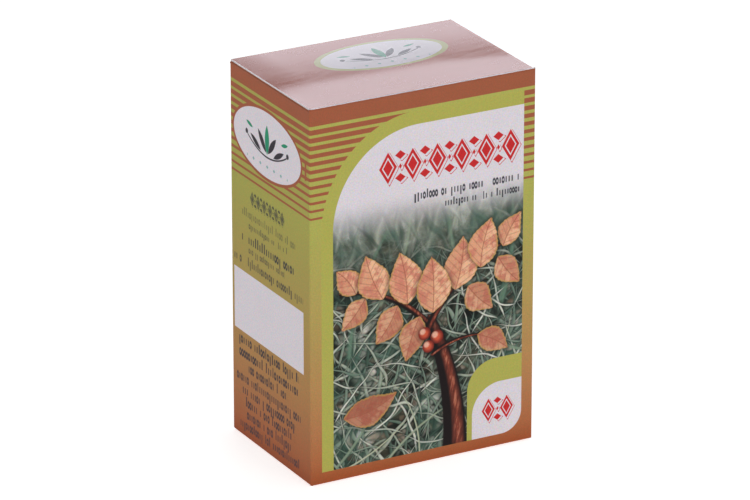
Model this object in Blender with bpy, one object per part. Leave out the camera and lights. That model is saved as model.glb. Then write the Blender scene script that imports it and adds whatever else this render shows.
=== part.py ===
"""A small upright folding carton of printed paperboard, standing on its bottom.

One creased blank makes the whole carton. Its four walls are glued into a sleeve. The bottom is glued shut
from four flaps. The top closes with a lid whose curled tongue tucks in behind the front wall, over two
dust flaps. Every panel that is bent along a crease is an object of its own. The front faces -Y.
"""

import math

import bmesh
import bpy
from mathutils import Vector

# Driving dimensions, in metres
CARTON_WIDTH = 0.070
CARTON_DEPTH = 0.047
CARTON_HEIGHT = 0.110
BOARD = 0.00045
GAP = 0.0004

# Sleeve
CORNER_RADIUS = 0.0007
CORNER_STEPS = 4
GLUE_FLAP_WIDTH = 0.012
GLUE_FLAP_SETBACK = 0.005
GLUE_FLAP_TAPER = 0.004
GLUE_BITE = 0.0001

# Lid
LID_SIDE_INSET = 0.0002
TONGUE_LENGTH = 0.015
TONGUE_SIDE_INSET = 0.0022
TONGUE_CORNER = 0.009
TONGUE_ROWS = 12

# Dust flaps
FLAP_LENGTH = 0.022
FLAP_REAR_CLEARANCE = 0.0003
FLAP_FRONT_CLEARANCE = 0.0009
FLAP_REAR_TAPER = math.radians(28)
FLAP_FRONT_TAPER = math.radians(8)
FLAP_CORNER = 0.002
FLAP_CORNER_STEPS = 4

# Places that follow from the dimensions
HALF_WIDTH = CARTON_WIDTH / 2
HALF_DEPTH = CARTON_DEPTH / 2
INSIDE_HALF_WIDTH = HALF_WIDTH - BOARD
INSIDE_HALF_DEPTH = HALF_DEPTH - BOARD
SIDE_WALL_TOP = CARTON_HEIGHT - BOARD - GAP
SIDE_WALL_BOTTOM = BOARD + GAP
LID_CREASE = Vector((0, HALF_DEPTH - BOARD / 2, CARTON_HEIGHT - BOARD / 2))
LID_REAR = INSIDE_HALF_DEPTH - GAP
LID_FRONT = -INSIDE_HALF_DEPTH + GAP
TOP_FLAP_CREASE_HEIGHT = SIDE_WALL_TOP - BOARD / 2
FLAP_CREASE_OFFSET = HALF_WIDTH - BOARD / 2

# Print and board colours, as the eye sees them
PRINT_GREEN = "A7A657"
PRINT_BROWN = "9C5B43"
BOTTOM_BROWN = "9A5231"
BOARD_WHITE = "D3CBC8"
BOARD_GREY = "BDB5AA"


def linear(value):
    """Turns one display colour value into the linear light that a shader works in."""
    if value <= 0.04045:
        return value / 12.92
    return ((value + 0.055) / 1.055) ** 2.4


def board_material(name, colour, roughness):
    """Makes the paperboard material of one panel from a six-digit colour."""
    channels = [linear(int(colour[i:i + 2], 16) / 255) for i in (0, 2, 4)]
    material = bpy.data.materials.new(name)
    material.use_nodes = True
    shader = material.node_tree.nodes["Principled BSDF"]
    shader.inputs["Base Color"].default_value = (*channels, 1)
    shader.inputs["Roughness"].default_value = roughness
    shader.inputs["Metallic"].default_value = 0
    material.diffuse_color = (*channels, 1)
    return material


def add_object(name, bm, colour, roughness=0.5, place=(0, 0, 0)):
    """Turns a bmesh, whose points are relative to place, into a named object standing at place."""
    bmesh.ops.recalc_face_normals(bm, faces=bm.faces)
    mesh = bpy.data.meshes.new(name)
    bm.to_mesh(mesh)
    bm.free()
    mesh.materials.append(board_material(name, colour, roughness))
    item = bpy.data.objects.new(name, mesh)
    item.location = place
    bpy.context.collection.objects.link(item)
    return item


def extrude_up(bm, faces, height):
    """Extrudes faces straight up by height."""
    lifted = bmesh.ops.extrude_face_region(bm, geom=faces)["geom"]
    points = [v for v in lifted if isinstance(v, bmesh.types.BMVert)]
    bmesh.ops.translate(bm, verts=points, vec=(0, 0, height))


def plate(outline, low, high):
    """Returns a bmesh of a flat plate: an outline in X and Y, between two heights."""
    bm = bmesh.new()
    face = bm.faces.new([bm.verts.new((x, y, low)) for x, y in outline])
    extrude_up(bm, [face], high - low)
    return bm


def rectangle(left, right, front, rear):
    """Returns a rectangle's corners, counterclockwise from above."""
    return [(left, front), (right, front), (right, rear), (left, rear)]


def arc(centre, radius, start, end, steps):
    """Returns points along an arc, both ends included, with its angles in radians."""
    points = []
    for step in range(steps + 1):
        angle = start + (end - start) * step / steps
        points.append((centre[0] + radius * math.cos(angle), centre[1] + radius * math.sin(angle)))
    return points


def rounded_corner(before, corner, after, radius, steps):
    """Returns the arc that rounds one corner of an outline."""
    corner = Vector(corner)
    to_before = (Vector(before) - corner).normalized()
    to_after = (Vector(after) - corner).normalized()
    half_angle = to_before.angle(to_after) / 2
    centre = corner + (to_before + to_after).normalized() * radius / math.sin(half_angle)
    reach = radius / math.tan(half_angle)
    first = corner + to_before * reach - centre
    last = corner + to_after * reach - centre
    start = math.atan2(first.y, first.x)
    turn = math.atan2(first.x * last.y - first.y * last.x, first.dot(last))
    return arc(centre, radius, start, start + turn, steps)


def box_cutter(name, left_right, front_rear, low_high):
    """Makes a box that only cuts another object."""
    cutter = add_object(name, plate(rectangle(*left_right, *front_rear), *low_high), BOARD_GREY)
    cutter.hide_render = True
    cutter.display_type = "WIRE"
    return cutter


def add_boolean(item, other, operation):
    """Cuts or joins an object with another one."""
    modifier = item.modifiers.new(other.name, "BOOLEAN")
    modifier.operation = operation
    modifier.solver = "EXACT"
    modifier.object = other


def sleeve_outline():
    """Returns the sleeve's outer outline, with its four creased corners rounded."""
    corners = rectangle(-HALF_WIDTH, HALF_WIDTH, -HALF_DEPTH, HALF_DEPTH)
    outline = []
    for index, corner in enumerate(corners):
        before = corners[index - 1]
        after = corners[(index + 1) % 4]
        outline += rounded_corner(before, corner, after, CORNER_RADIUS, CORNER_STEPS)
    return outline


def glue_flap_shape():
    """Makes the tapered flap that is glued inside the back wall, next to the left wall."""
    left = -INSIDE_HALF_WIDTH - GLUE_BITE
    right = -INSIDE_HALF_WIDTH + GLUE_FLAP_WIDTH
    low = GLUE_FLAP_SETBACK
    high = CARTON_HEIGHT - GLUE_FLAP_SETBACK
    side = [(left, low), (right, low + GLUE_FLAP_TAPER), (right, high - GLUE_FLAP_TAPER), (left, high)]
    front = INSIDE_HALF_DEPTH - BOARD
    rear = INSIDE_HALF_DEPTH + GLUE_BITE
    bm = bmesh.new()
    face = bm.faces.new([bm.verts.new((x, front, z)) for x, z in side])
    moved = bmesh.ops.extrude_face_region(bm, geom=[face])["geom"]
    points = [v for v in moved if isinstance(v, bmesh.types.BMVert)]
    bmesh.ops.translate(bm, verts=points, vec=(0, rear - front, 0))
    flap = add_object("glue_flap_shape", bm, BOARD_GREY)
    flap.hide_render = True
    flap.display_type = "WIRE"
    return flap


def build_sleeve():
    """Builds the four walls. The front and back walls reach the top, the front wall reaches the floor."""
    bm = bmesh.new()
    inside = rectangle(-INSIDE_HALF_WIDTH, INSIDE_HALF_WIDTH, -INSIDE_HALF_DEPTH, INSIDE_HALF_DEPTH)
    loops = [sleeve_outline(), inside]
    edges = []
    for loop in loops:
        points = [bm.verts.new((x, y, 0)) for x, y in loop]
        edges += [bm.edges.new((points[i - 1], points[i])) for i in range(len(points))]
    bmesh.ops.triangle_fill(bm, use_beauty=True, edges=edges)
    extrude_up(bm, list(bm.faces), CARTON_HEIGHT)
    sleeve = add_object("sleeve", bm, PRINT_GREEN, 0.42)
    past = BOARD * 3
    over_sides = (-HALF_WIDTH - past, HALF_WIDTH + past)
    lid_seat = box_cutter("lid_seat", over_sides, (-INSIDE_HALF_DEPTH, INSIDE_HALF_DEPTH),
                          (SIDE_WALL_TOP, CARTON_HEIGHT + past))
    bottom_seat = box_cutter("bottom_seat", over_sides, (-INSIDE_HALF_DEPTH, HALF_DEPTH + past),
                             (-past, SIDE_WALL_BOTTOM))
    add_boolean(sleeve, lid_seat, "DIFFERENCE")
    add_boolean(sleeve, bottom_seat, "DIFFERENCE")
    add_boolean(sleeve, glue_flap_shape(), "UNION")
    return sleeve


def flap_outline(side, front, rear):
    """Returns a flap's outline, tapered from its crease beside one side wall (side is -1 or 1)."""
    crease = side * (INSIDE_HALF_WIDTH - GAP)
    tip = crease - side * FLAP_LENGTH
    front_tip = front + FLAP_LENGTH * math.tan(FLAP_FRONT_TAPER)
    rear_tip = rear - FLAP_LENGTH * math.tan(FLAP_REAR_TAPER)
    corners = [(crease, front), (tip, front_tip), (tip, rear_tip), (crease, rear)]
    outline = [corners[0]]
    for index in (1, 2):
        outline += rounded_corner(corners[index - 1], corners[index], corners[index + 1],
                                  FLAP_CORNER, FLAP_CORNER_STEPS)
    outline.append(corners[3])
    return outline


def build_bottom():
    """Builds the glued bottom: an outer and an inner flap, with two dust flaps on top of them."""
    outer = rectangle(-HALF_WIDTH, HALF_WIDTH, -INSIDE_HALF_DEPTH + GAP, HALF_DEPTH)
    add_object("bottom_outer_flap", plate(outer, 0, BOARD), BOTTOM_BROWN, 0.42)
    reach = INSIDE_HALF_WIDTH - GAP
    inner = rectangle(-reach, reach, -INSIDE_HALF_DEPTH + GAP, INSIDE_HALF_DEPTH - GAP)
    low = BOARD + GAP
    add_object("bottom_inner_flap", plate(inner, low, low + BOARD), BOARD_GREY, 0.8)
    low += BOARD + GAP
    for side, name in ((-1, "bottom_dust_flap_left"), (1, "bottom_dust_flap_right")):
        outline = flap_outline(side, -INSIDE_HALF_DEPTH + GAP, INSIDE_HALF_DEPTH - GAP)
        add_object(name, plate(outline, low, low + BOARD), BOARD_GREY, 0.8)


def build_dust_flaps():
    """Builds the two flaps under the lid, each with its origin on its crease."""
    front = LID_FRONT + BOARD + FLAP_FRONT_CLEARANCE
    rear = LID_REAR - FLAP_REAR_CLEARANCE
    for side, name in ((-1, "dust_flap_left"), (1, "dust_flap_right")):
        crease = side * FLAP_CREASE_OFFSET
        outline = [(x - crease, y) for x, y in flap_outline(side, front, rear)]
        bm = plate(outline, -BOARD / 2, BOARD / 2)
        add_object(name, bm, BOARD_WHITE, 0.7, (crease, 0, TOP_FLAP_CREASE_HEIGHT))


def tongue_half_width(depth):
    """Returns the tongue's half width at a depth below its crease, narrowing at its round corners."""
    full = HALF_WIDTH - TONGUE_SIDE_INSET
    into_corner = depth - (TONGUE_LENGTH - TONGUE_CORNER)
    if into_corner <= 0:
        return full
    return full - TONGUE_CORNER + math.sqrt(max(TONGUE_CORNER ** 2 - into_corner ** 2, 0))


def tongue_depths(first):
    """Returns the depths of the tongue's rows, closer together round its corners."""
    straight_end = TONGUE_LENGTH - TONGUE_CORNER
    depths = [first, (first + straight_end) / 2]
    for row in range(TONGUE_ROWS + 1):
        depths.append(straight_end + TONGUE_CORNER * math.sin(math.pi / 2 * row / TONGUE_ROWS))
    return depths


def build_lid():
    """Builds the lid, and its tongue curled round the lid's crease, so that it slides past the front wall."""
    half = HALF_WIDTH - LID_SIDE_INSET
    top = rectangle(-half, half, LID_FRONT - LID_CREASE.y, LID_REAR - LID_CREASE.y)
    lid = add_object("lid_panel", plate(top, -BOARD / 2, BOARD / 2), PRINT_BROWN, 0.3, LID_CREASE)
    outer_radius = LID_CREASE.y - LID_FRONT
    bm = bmesh.new()
    rows = []
    for depth in tongue_depths(BOARD / 2 + GAP):
        angle = depth / outer_radius
        half = tongue_half_width(depth)
        row = []
        inner_radius = outer_radius - BOARD
        ends = ((outer_radius, -half), (outer_radius, half), (inner_radius, half), (inner_radius, -half))
        for radius, x in ends:
            row.append(bm.verts.new((x, -radius * math.cos(angle), -radius * math.sin(angle))))
        rows.append(row)
    for upper, lower in zip(rows, rows[1:]):
        for i in range(4):
            bm.faces.new((upper[i - 1], upper[i], lower[i], lower[i - 1]))
    bm.faces.new(rows[0])
    bm.faces.new(rows[-1])
    tongue = add_object("tuck_tongue", bm, BOARD_WHITE, 0.7)
    tongue.parent = lid
    return lid


def build():
    """Clears the file and builds the carton."""
    for item in list(bpy.data.objects):
        bpy.data.objects.remove(item, do_unlink=True)
    build_sleeve()
    build_bottom()
    build_dust_flaps()
    build_lid()


build()
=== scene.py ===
# %% [markdown]
# A printed folding carton, dressed around its frame
# The frame is a set of plain CAD panels that already stand in the right places and already know how they
# move. This lesson puts finished paperboard panels over them: thin sheets with rounded creases, white cut
# edges, a varnished print outside and bare board inside. Nothing here is larger than the frame.

# %% Load the frame
import inspect
import math

import bmesh
import bpy
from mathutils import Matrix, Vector


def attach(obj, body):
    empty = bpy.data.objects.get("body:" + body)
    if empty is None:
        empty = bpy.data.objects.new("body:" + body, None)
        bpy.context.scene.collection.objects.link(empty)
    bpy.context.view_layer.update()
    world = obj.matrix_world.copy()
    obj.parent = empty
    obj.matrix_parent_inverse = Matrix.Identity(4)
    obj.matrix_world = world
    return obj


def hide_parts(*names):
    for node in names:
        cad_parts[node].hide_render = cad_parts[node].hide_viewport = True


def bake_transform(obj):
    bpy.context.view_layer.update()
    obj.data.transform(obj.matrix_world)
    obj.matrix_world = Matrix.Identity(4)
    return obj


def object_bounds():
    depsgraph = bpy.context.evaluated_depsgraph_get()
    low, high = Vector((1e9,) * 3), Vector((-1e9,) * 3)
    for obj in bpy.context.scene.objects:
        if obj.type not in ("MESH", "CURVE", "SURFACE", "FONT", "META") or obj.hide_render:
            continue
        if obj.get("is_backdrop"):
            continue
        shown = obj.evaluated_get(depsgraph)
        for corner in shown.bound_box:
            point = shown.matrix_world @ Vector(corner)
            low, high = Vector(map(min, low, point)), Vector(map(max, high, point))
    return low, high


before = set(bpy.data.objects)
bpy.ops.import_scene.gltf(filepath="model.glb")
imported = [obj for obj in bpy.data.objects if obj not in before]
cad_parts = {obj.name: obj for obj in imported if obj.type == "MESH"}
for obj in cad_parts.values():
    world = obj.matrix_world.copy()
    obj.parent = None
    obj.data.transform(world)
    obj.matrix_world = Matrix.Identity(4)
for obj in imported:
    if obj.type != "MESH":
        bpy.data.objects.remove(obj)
cad_low, cad_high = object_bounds()
print("frame parts:", ", ".join(sorted(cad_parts)))

# %% [markdown]
# The carton's sizes
# A carton maker works in millimetres, so the lesson does too and turns them into metres in one place.
# The board is under half a millimetre thick. A crease bends it round a small radius, and that radius, more
# than anything else, is what makes a fold look like paperboard and not like a cut block.

# %% Sizes in millimetres
MM = 0.001
BOARD = 0.45
HALF_WIDTH = (cad_high.x - cad_low.x) / 2 / MM
HALF_DEPTH = (cad_high.y - cad_low.y) / 2 / MM
HEIGHT = (cad_high.z - cad_low.z) / MM
FOLD = 0.55
FOLD_STEPS = 7
LID_TOP = 109.86
SIDE_TOP = LID_TOP - BOARD - 0.01
print(f"carton {2 * HALF_WIDTH:.1f} x {2 * HALF_DEPTH:.1f} x {HEIGHT:.1f} mm, board {BOARD} mm")

# %% [markdown]
# Cutting and folding a sheet
# By hand, a folded panel starts as a flat plane. One of its edges is picked and spun round the crease's
# centre, which leaves a rounded fold, and then extruded on into the next flat part. These helpers do those
# steps with the same operators a modeller would call from the menus. Picking is done by place, in
# millimetres, because an operator acts on everything that is selected.

# %% Helpers for flat sheets
FACING = {"front": (90, 0, 0), "left": (90, 0, -90), "right": (90, 0, 90), "back": (90, 0, 180),
          "top": (0, 0, 0), "bottom": (180, 0, 0)}


def mm(*values):
    """Turns millimetres into metres."""
    return tuple(value * MM for value in values)


def new_sheet(name, middle, size, facing):
    """Adds a flat sheet with its printed side facing out, and opens it for editing."""
    bpy.ops.object.select_all(action="DESELECT")
    turn = [math.radians(angle) for angle in FACING[facing]]
    bpy.ops.mesh.primitive_plane_add(size=1, location=mm(*middle), rotation=turn)
    sheet = bpy.context.object
    sheet.name = sheet.data.name = name
    sheet.scale = (*mm(*size), 1)
    bpy.ops.object.transform_apply(location=True, rotation=True, scale=True)
    bpy.ops.object.mode_set(mode="EDIT")
    return sheet


def pick(sheet, test, kind="EDGE"):
    """Picks the points, edges or faces whose corners and middle pass a test of x, y and z in millimetres."""
    bpy.ops.mesh.select_mode(type=kind)
    bpy.ops.mesh.select_all(action="DESELECT")
    shape = bmesh.from_edit_mesh(sheet.data)
    parts = {"VERT": shape.verts, "EDGE": shape.edges, "FACE": shape.faces}[kind]
    found = 0
    for part in parts:
        corners = [corner.co for corner in ([part] if kind == "VERT" else part.verts)]
        middle = sum(corners, Vector()) / len(corners)
        if all(test(*(place / MM)) for place in [*corners, middle]):
            part.select_set(True)
            found += 1
    bmesh.update_edit_mesh(sheet.data)
    if not found:
        raise ValueError(f"nothing of {sheet.name} was picked")
    return found


def crease(centre, axis, degrees, steps=FOLD_STEPS):
    """Spins the picked edges round a crease's centre line."""
    bpy.ops.mesh.spin(steps=steps, angle=-math.radians(degrees), center=mm(*centre), axis=axis)


def push_out(x, y, z):
    """Extrudes the picked edges by a distance in millimetres."""
    bpy.ops.mesh.extrude_region_move(TRANSFORM_OT_translate={"value": mm(x, y, z)})


# %% [markdown]
# From sheet to board
# Solidify gives the sheet its thickness on the inner side only, so the printed face stays where the frame
# has it. It also knows three kinds of face, which a real board has too: the printed side, the bare inside
# and the white cut edge. Weighted normals keep the big flat faces flat right up to the rounded folds.

# %% Helpers for finished board
CUT_BEVEL = 0.07
SMOOTH_BELOW = math.radians(40)


def thicken(sheet, thickness=BOARD):
    """Closes editing and turns the sheet into board, with its thickness inwards."""
    bpy.ops.object.mode_set(mode="OBJECT")
    bpy.ops.object.modifier_add(type="SOLIDIFY")
    solidify = sheet.modifiers[-1]
    solidify.thickness = thickness * MM
    solidify.offset = -1
    solidify.use_even_offset = True
    solidify.material_offset = 1
    solidify.material_offset_rim = 2
    for number in range(3):
        sheet.data.materials.append(None)
    bpy.ops.object.modifier_apply(modifier=solidify.name)


def soften_cut(sheet, test, width=CUT_BEVEL, material=2):
    """Takes the sharpness off the cut edges that pass the test, and leaves white board there."""
    bpy.ops.object.mode_set(mode="EDIT")
    pick(sheet, test)
    bpy.ops.mesh.bevel(offset=width * MM, segments=2, affect="EDGES", material=material)
    bpy.ops.object.mode_set(mode="OBJECT")


def finish_piece(piece, body, nodes, slot, outside):
    """Smooths a piece, gives it its three finishes and ties it to the frame."""
    bpy.ops.object.select_all(action="DESELECT")
    piece.select_set(True)
    bpy.context.view_layer.objects.active = piece
    bpy.ops.object.shade_smooth_by_angle(angle=SMOOTH_BELOW)
    bpy.ops.object.modifier_add(type="WEIGHTED_NORMAL")
    piece.modifiers[-1].keep_sharp = True
    bpy.ops.object.modifier_apply(modifier=piece.modifiers[-1].name)
    for number, material in enumerate((outside, inner_board, cut_edge)):
        piece.data.materials[number] = material
    if nodes:
        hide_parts(*nodes)
    if body:
        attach(piece, body)
    print(f"{piece.name}: {len(piece.data.polygons)} faces, {len(piece.data.materials)} finishes")


# %% [markdown]
# Numbers that flow through a material
# A print is a drawing, and this one is drawn with arithmetic alone: every shape is a distance in
# millimetres to its own outline, and ink goes on where that distance is positive. The small class below
# lets such sums be written like ordinary ones while it adds the matching nodes to the material.

# %% Arithmetic with nodes
INK_EDGE = 0.07


def plug(tree, value, socket):
    """Links a flowing number to a socket, or sets a plain number there."""
    if isinstance(value, Flow):
        tree.links.new(value.end, socket)
    elif socket.type == "RGBA":
        socket.default_value = (*value[:3], 1)
    else:
        socket.default_value = value


def add_node(tree, kind, inlets=None, **options):
    """Adds a node, sets its options, and plugs a value or a flow into each inlet, by its number or name."""
    node = tree.nodes.new("ShaderNode" + kind)
    for option, choice in options.items():
        setattr(node, option, choice)
    for inlet, value in (inlets or {}).items():
        plug(tree, value, node.inputs[inlet])
    return node


class Flow:
    """A number, or a colour, on its way through a material's nodes."""

    def __init__(self, tree, end):
        self.tree = tree
        self.end = end

    def do(self, operation, *others):
        """Adds one Math node."""
        node = add_node(self.tree, "Math", dict(enumerate((self, *others))), operation=operation)
        return Flow(self.tree, node.outputs[0])

    def kept(self):
        """Keeps the number between 0 and 1."""
        return Flow(self.tree, add_node(self.tree, "Clamp", {0: self}).outputs[0])

    def __add__(self, other):
        return self.do("ADD", other)

    def __sub__(self, other):
        return self.do("SUBTRACT", other)

    def __mul__(self, other):
        return self.do("MULTIPLY", other)

    def __truediv__(self, other):
        return self.do("DIVIDE", other)

    def __rsub__(self, other):
        return self.do("MULTIPLY_ADD", -1, other)

    __radd__ = __add__
    __rmul__ = __mul__

    def __abs__(self):
        return self.do("ABSOLUTE")

    def in_turn(self, operation, others):
        """Adds one Math node after another, for each of the other numbers."""
        found = self
        for other in others:
            found = found.do(operation, other)
        return found

    def least(self, *others):
        """The smallest of several numbers: the overlap of shapes."""
        return self.in_turn("MINIMUM", others)

    def most(self, *others):
        """The largest of several numbers: shapes put together."""
        return self.in_turn("MAXIMUM", others)

    def ink(self, edge=INK_EDGE):
        """How much ink lies at this distance inside an outline, from 0 to 1."""
        return self.do("MULTIPLY_ADD", 1 / edge, 0.5).kept()

    def between(self, low, high):
        """Rises from 0 to 1 between two values, gently at both ends."""
        inlets = {"Value": self, "From Min": low, "From Max": high}
        node = add_node(self.tree, "MapRange", inlets, interpolation_type="SMOOTHSTEP", clamp=False)
        return Flow(self.tree, node.outputs["Result"])


def length_of(across, down):
    """The length of a slanted line from its two parts."""
    return (across * across + down * down).do("SQRT")


# %% [markdown]
# Coats, clouds and stencils
# A colour is laid over another one like a coat of ink. Clouds of noise make a surface uneven, as paper and
# leaves are. A shape that is printed many times is drawn once, as a node group, and is then stamped like a
# stencil, which keeps the material small enough to render.

# %% Colours and patterns with nodes
def linear(hexcode):
    """Turns a six-digit colour into the linear light that a shader works in."""
    channels = []
    for start in (0, 2, 4):
        value = int(hexcode[start:start + 2], 16) / 255
        channels.append(value / 12.92 if value <= 0.04045 else ((value + 0.055) / 1.055) ** 2.4)
    return channels


def coat(under, colour, cover):
    """Lays a colour over another one where cover says."""
    node = add_node(cover.tree, "Mix", {0: cover, 6: under, 7: colour}, data_type="RGBA")
    return Flow(cover.tree, node.outputs[2])


def grade(flow, stops):
    """Turns a number from 0 to 1 into a colour, through a list of places and colours."""
    node = add_node(flow.tree, "ValToRGB", {0: flow})
    ramp = node.color_ramp
    for number, (place, colour) in enumerate(stops):
        stop = ramp.elements[number] if number < 2 else ramp.elements.new(place)
        stop.position = place
        stop.color = (*colour, 1)
    return Flow(flow.tree, node.outputs[0])


def chance_of(number):
    """Throws three dice for a whole number: the same number always gets the same three chances."""
    noise = add_node(number.tree, "TexWhiteNoise", {"W": number}, noise_dimensions="1D")
    return channels_of(Flow(number.tree, noise.outputs["Color"]))


def channels_of(colour):
    """Takes a colour apart into its three channels."""
    parts = add_node(colour.tree, "SeparateColor", {0: colour})
    return [Flow(colour.tree, end) for end in parts.outputs]


def place_on(tree, kind="Object"):
    """The place on the object, in metres, or the way that one looks into the surroundings."""
    return Flow(tree, add_node(tree, "TexCoord").outputs[kind])


def on_object(tree, size, turn=0, axis=1):
    """The place on the object, measured in clouds of the given length and width, round a leaning axis."""
    turns = [0, 0, 0]
    turns[axis] = math.radians(turn)
    inlets = {"Vector": place_on(tree), "Rotation": turns, "Scale": mm(size[0], size[1], size[1])}
    return Flow(tree, add_node(tree, "Mapping", inlets, vector_type="TEXTURE").outputs[0])


def clouds(tree, size, turn=0, detail=2, roughness=0.5, distortion=0, axis=1):
    """A cloudy pattern round 0.5, with its clouds' length and width in mm. They can lean, round an axis."""
    inlets = {"Vector": on_object(tree, size, turn, axis), "Scale": 1, "Detail": detail,
              "Roughness": roughness, "Distortion": distortion}
    return Flow(tree, add_node(tree, "TexNoise", inlets).outputs[0])


def stencil(name, draw, *outlets):
    """Keeps a drawn shape as a node group, with an inlet for everything that the drawing asks for."""
    group = bpy.data.node_groups.new(name, "ShaderNodeTree")
    inlets = list(inspect.signature(draw).parameters)
    for direction, labels in (("INPUT", inlets), ("OUTPUT", outlets)):
        for label in labels:
            kind = "NodeSocketColor" if label in ("under", "colour") else "NodeSocketFloat"
            group.interface.new_socket(label, in_out=direction, socket_type=kind)
    entry = group.nodes.new("NodeGroupInput")
    way_out = group.nodes.new("NodeGroupOutput")
    drawn = draw(*(Flow(group, entry.outputs[number]) for number in range(len(inlets))))
    for flow, socket in zip(drawn if isinstance(drawn, tuple) else (drawn,), way_out.inputs):
        plug(group, flow, socket)
    print(f"{name} stencil: {len(group.nodes)} nodes")
    return group


def stamp(tree, group, *values):
    """Uses a stencil once and returns what it draws."""
    node = add_node(tree, "Group", dict(enumerate(values)), node_tree=group)
    flows = [Flow(tree, end) for end in node.outputs]
    return flows[0] if len(flows) == 1 else flows


def turned(across, down, degrees):
    """Turns a pair of directions, so that a shape drawn upright leans to the right."""
    cosine, sine = math.cos(math.radians(degrees)), math.sin(math.radians(degrees))
    return across * cosine + down * sine, down * cosine - across * sine


def petal(across, down, half_width, half_length):
    """Distance inside an upright pointed petal round the origin: the overlap of two circles."""
    radius = (half_length ** 2 + half_width ** 2) / (2 * half_width)
    return radius - length_of(abs(across) + (radius - half_width), down)


# %% [markdown]
# Inks
# The print was read off the photograph as it looks under the studio light, which is a little under full
# strength and adds a faint haze. Taking both off again gives the ink itself, so the same inks can be used
# on every panel and under any light.

# %% Ink colours
STUDIO_LIGHT = 0.775
STUDIO_HAZE = 0.02
LEAST_INK = 0.001


def ink_of(hexcode):
    """The ink whose lit colour in the studio is the given one."""
    return [max(value - STUDIO_HAZE, LEAST_INK) / STUDIO_LIGHT for value in linear(hexcode)]


def inked(stops):
    """Turns the six-digit colours of a list of stops into inks."""
    return [(spot, ink_of(code)) for spot, code in stops]


PAPER = ink_of("D3CCD2")
LIME = ink_of("A9A650")
BROWN = ink_of("9D593E")
DEEP_BROWN = ink_of("8A4222")
RED = ink_of("C1202A")
DARK = ink_of("3A3A42")
GROUND = [(34, "A8A753"), (44, "A9A153"), (54, "AB9B54"), (64, "AD9453"), (74, "AE8B52"),
          (84, "B18350"), (94, "AE764B"), (104, "A9653F"), (109, "9E522E")]
print(f"a ground of {len(GROUND)} shades, on paper that sends back {100 * PAPER[1]:.0f}% of green light")

# %% [markdown]
# The panels' shared print
# All four walls share a ground that runs from lime at the top to brown at the bottom, a plain brown band
# under the lid, and twelve brown stripes that grow thinner downwards. The stripes meet at the folds, because
# the whole blank is printed in one go, so one function draws them for every wall from its height alone. The
# ink lies a little heavier on the two side walls, so they are given a share of the light that it sends back.

# %% Ground, band and stripes
BAND_HEIGHT = 5.0
FIRST_STRIPE = 5.95
STRIPE_PITCH = 2.295
STRIPE_THICKNESS = 1.5
STRIPE_THINNING = 0.076
STRIPES = 12
FOLD_SHADE = 0.45
EVEN_INK = (1, 1, 1)
SIDE_INK = (0.91, 0.88, 0.83)


def new_print(name):
    """Starts an empty material for a printed panel."""
    material = bpy.data.materials.new(name)
    material.use_nodes = True
    material.node_tree.nodes.clear()
    return material


def grid_of(tree, across, down):
    """Reads a point's place on a panel in millimetres, each way as (axis, direction, start)."""
    parts = add_node(tree, "SeparateXYZ", {0: place_on(tree)})
    return [Flow(tree, parts.outputs[axis]).do("MULTIPLY_ADD", direction / MM, start)
            for axis, direction, start in (across, down)]


def shaded_ground(down, share):
    """The ground's gradient from lime to brown, with a share of each light that the ink sends back."""
    return grade(down / HEIGHT, [(spot / HEIGHT, [light * part for light, part in zip(ink, share)])
                                 for spot, ink in inked(GROUND)])


def stripes_of(down):
    """Where the stripes lie."""
    number = ((down - FIRST_STRIPE) / STRIPE_PITCH).do("FLOOR")
    half = number * (-STRIPE_THINNING / 2) + STRIPE_THICKNESS / 2
    into = down - FIRST_STRIPE - number * STRIPE_PITCH
    distance = half - abs(into - half)
    return distance.least(down - FIRST_STRIPE + 0.1, FIRST_STRIPE + STRIPES * STRIPE_PITCH - down).ink()


def wall_ground(down, share=EVEN_INK):
    """The ground with its stripes, its top band, and a thin line of painted shade along its top edge."""
    colour = shaded_ground(down, share)
    colour = coat(colour, BROWN, stripes_of(down))
    colour = coat(colour, BROWN, (BAND_HEIGHT - down).ink())
    # A thin darker line along the top edge is painted shade, just under the lid's edge.
    return coat(colour, DEEP_BROWN, (FOLD_SHADE - down).ink(0.2) * 0.5)


# %% [markdown]
# Varnished board
# The print lies under a thin satin varnish. It is never quite even: the fibres of the board show through as
# a fine grain, the panel itself is not quite flat, and the varnish is a touch rougher in places. All of that
# is in the roughness and the bump, and the grain also breaks up the ink a little, as a printing screen does.

# %% The varnish
FIBRE_SPACING = (0.4, 0.4)
PATCH_SPACING = (6.3, 6.3)
INK_DRIFT = 0.045
GLOSS_DRIFT = 0.16
GLOSS_GRAIN = 0.1
WAVE_HEIGHT = 0.05
BARE_FIBRE = 6e-6
BARE_GRAIN = 0.05


def vector_math(tree, operation, inlets):
    """Adds one Vector Math node, which works on the three channels of a colour at once."""
    return Flow(tree, add_node(tree, "VectorMath", inlets, operation=operation).outputs[0])


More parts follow.
